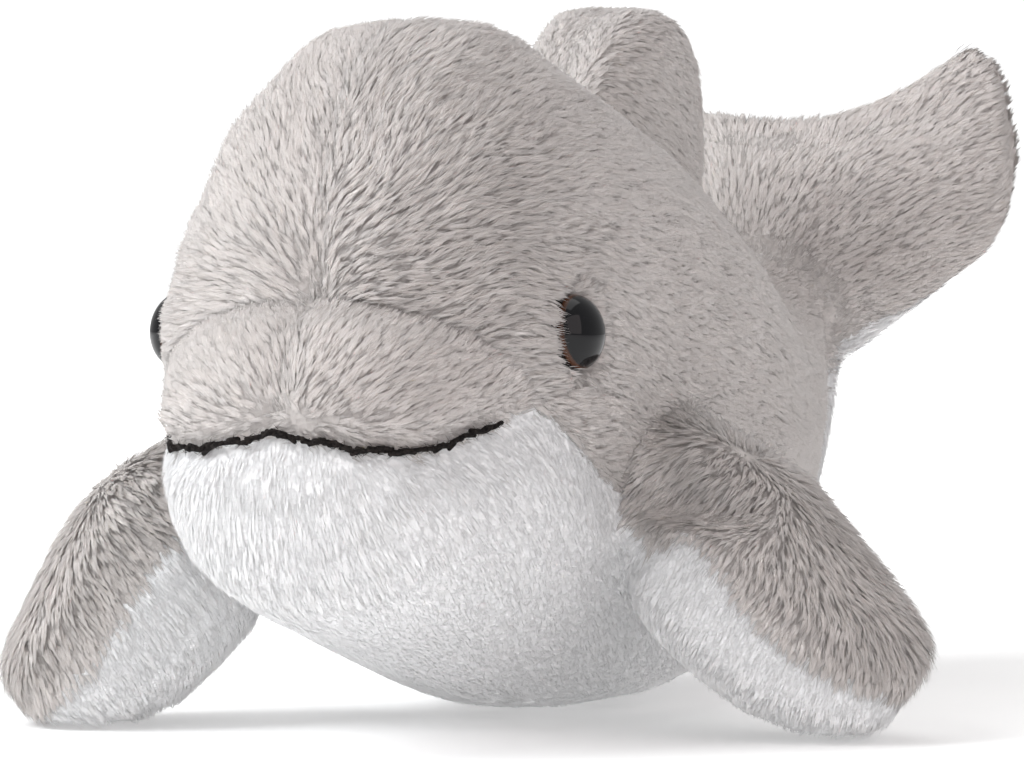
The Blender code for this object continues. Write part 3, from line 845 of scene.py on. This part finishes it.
# one stitch is modelled and copied along the mouth
def sewMouth(lips, setup):
    bpy.ops.object.select_all(action="DESELECT")
    bpy.ops.mesh.primitive_cylinder_add(vertices=10, radius=setup["thread"], depth=setup["stitch"])
    stitch = bpy.context.object
    bpy.ops.object.mode_set(mode="EDIT")
    bpy.ops.mesh.select_mode(type="FACE")
    bpy.ops.mesh.select_all(action="SELECT")
    bpy.ops.mesh.bevel(offset=setup["thread"] * 0.7, segments=2, profile=0.5)
    bpy.ops.object.mode_set(mode="OBJECT")
    bpy.ops.object.select_all(action="DESELECT")
    thick, long = setup["fibre"]
    bpy.ops.mesh.primitive_cone_add(vertices=4, radius1=thick, radius2=0.0, depth=long)
    fibre = bpy.context.object
    roll = np.random.default_rng(7)
    line = mouthLine(lips, setup["apart"])
    copies = []
    for i, (place, out) in enumerate(line):
        ahead = (line[min(i + 1, len(line) - 1)][0] - line[max(i - 1, 0)][0]).normalized()
        up = out.cross(ahead).normalized()
        wander = roll.normal(0, 1, 3) * setup["wander"]
        ahead = (ahead + up * float(roll.normal(0, 0.2)) + out * float(roll.normal(0, 0.08))).normalized()
        turn = ahead.to_track_quat("Z", "Y").to_matrix().to_4x4()
        spot = place + out * (setup["above"] + abs(wander[0])) + up * wander[1]
        stretch = Matrix.Diagonal((*(roll.uniform(0.75, 1.2),) * 2, roll.uniform(0.8, 1.15), 1.0))
        one = stitch.copy()
        one.data = stitch.data.copy()
        one.data.transform(Matrix.Translation(spot) @ turn @ stretch)
        bpy.context.scene.collection.objects.link(one)
        copies.append(one)
        for _ in range(setup["fuzz"]):
            stray = ahead * float(roll.choice([-1, 1])) * 1.2 + Vector(roll.normal(0, 0.5, 3)) + out * 0.3
            stray.normalize()
            start = spot + stray * long * 0.5 + Vector(roll.normal(0, 0.25, 3)) * mm
            turn = stray.to_track_quat("Z", "Y").to_matrix().to_4x4()
            hair = fibre.copy()
            hair.data = fibre.data.copy()
            hair.data.transform(Matrix.Translation(start) @ turn)
            bpy.context.scene.collection.objects.link(hair)
            copies.append(hair)
    bpy.data.objects.remove(stitch)
    bpy.data.objects.remove(fibre)
    bpy.ops.object.select_all(action="DESELECT")
    for one in copies:
        one.select_set(True)
    bpy.context.view_layer.objects.active = copies[0]
    bpy.ops.object.join()
    mouth = bpy.context.object
    mouth.name = mouth.data.name = "mouth_thread"
    mouth.data.materials.append(mottled("mouthThread", **threadLook))
    mouth.data.shade_smooth()
    return mouth


mouth = sewMouth(lips, mouthSetup)
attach(mouth, "root")
print("mouth has", len(mouth.data.polygons), "faces")


glassLook = {
    "shader": {"Roughness": 0.05, "Specular IOR Level": 0.3},
    "grain": 900.0,
    "grainDepth": 0.02,
    # black, with a brown rim: place from the middle out, and colour
    "dome": ((0.93, (0.003, 0.003, 0.004, 1.0)), (0.955, (0.07, 0.027, 0.013, 1.0))),
    "edge": ((0.985, (0.09, 0.036, 0.018, 1.0)), (0.998, (0.012, 0.008, 0.007, 1.0))),
}


def eyeMaterial(setup):
    glass, tree, shader = newMaterial("eyeGlass")
    fillIn(shader, setup["shader"])
    radius = tree.nodes.new("ShaderNodeAttribute")
    radius.attribute_name = "fromMiddle"
    place = tree.nodes.new("ShaderNodeTexCoord")
    grain = tree.nodes.new("ShaderNodeTexNoise")
    grain.inputs["Scale"].default_value = setup["grain"]
    mix = tree.nodes.new("ShaderNodeMath")
    mix.operation = "MULTIPLY_ADD"
    mix.inputs[1].default_value = setup["grainDepth"]
    iris = tree.nodes.new("ShaderNodeValToRGB")
    stops = iris.color_ramp.elements
    for stop, (position, colour) in zip((stops[0], stops[1]), setup["dome"]):
        stop.position, stop.color = position, colour
    for position, colour in setup["edge"]:
        stop = stops.new(position)
        stop.color = colour
    tree.links.new(place.outputs["Object"], grain.inputs["Vector"])
    tree.links.new(grain.outputs["Fac"], mix.inputs[0])
    tree.links.new(radius.outputs["Fac"], mix.inputs[2])
    tree.links.new(mix.outputs[0], iris.inputs["Fac"])
    tree.links.new(iris.outputs["Color"], shader.inputs["Base Color"])
    return glass


# a domed button eye with a collar and a stem
def modelEye(name, middle, axis, setup):
    bpy.ops.object.select_all(action="DESELECT")
    bpy.ops.mesh.primitive_uv_sphere_add(segments=48, ring_count=32, radius=setup["radius"])
    eye = bpy.context.object
    bpy.ops.transform.resize(value=(1.0, 1.0, setup["dome"] / setup["radius"]))
    bpy.ops.object.transform_apply(location=False, rotation=False, scale=True)
    bpy.ops.object.mode_set(mode="EDIT")
    bpy.ops.mesh.select_all(action="SELECT")
    bpy.ops.mesh.bisect(plane_co=(0, 0, 0), plane_no=(0, 0, 1), clear_inner=True, use_fill=True)
    bpy.ops.object.mode_set(mode="OBJECT")
    made = bmesh.new()
    made.from_mesh(eye.data)
    base = min(made.faces, key=lambda f: f.calc_center_median().z - f.calc_area())
    for shrink, down in ((1.0, setup["sink"]), (0.3, 0.0), (1.0, setup["stem"])):
        grown = bmesh.ops.extrude_face_region(made, geom=[base])
        bmesh.ops.delete(made, geom=[base], context="FACES_ONLY")
        base = [g for g in grown["geom"] if isinstance(g, bmesh.types.BMFace)][0]
        for v in base.verts:
            v.co = Vector((v.co.x * shrink, v.co.y * shrink, v.co.z - down))
    made.normal_update()
    made.to_mesh(eye.data)
    made.free()
    radius = eye.data.attributes.new("fromMiddle", "FLOAT", "POINT")
    for v in eye.data.vertices:
        onDome = v.co.z > -0.01 * mm
        radius.data[v.index].value = math.hypot(v.co.x, v.co.y) / setup["radius"] if onDome else 1.0
    eye.data.transform(Matrix.Translation(middle) @ axis.to_track_quat("Z", "Y").to_matrix().to_4x4())
    eye.name = eye.data.name = name
    eye.data.shade_smooth()
    return eye


glass = eyeMaterial(glassLook)
for side, (middle, axis, _) in zip(("left", "right"), eyes):
    eye = modelEye(side + "_eye_glass", middle, axis, eyeSize)
    eye.data.materials.append(glass)
    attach(eye, "root")
    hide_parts(side + "_eye")


# the washers behind the eyes are plain moulded plastic
washerLook = {
    "values": {"Roughness": 0.42},
    "scale": 300.0,
    "stops": ((0.0, (0.62, 0.61, 0.58, 1.0)), (1.0, (0.70, 0.69, 0.66, 1.0))),
}
plastic = mottled("washerPlastic", **washerLook)
for side in ("left", "right"):
    washer = nodes[side + "_eye_washer"]
    washer.data.materials.clear()
    washer.data.materials.append(plastic)
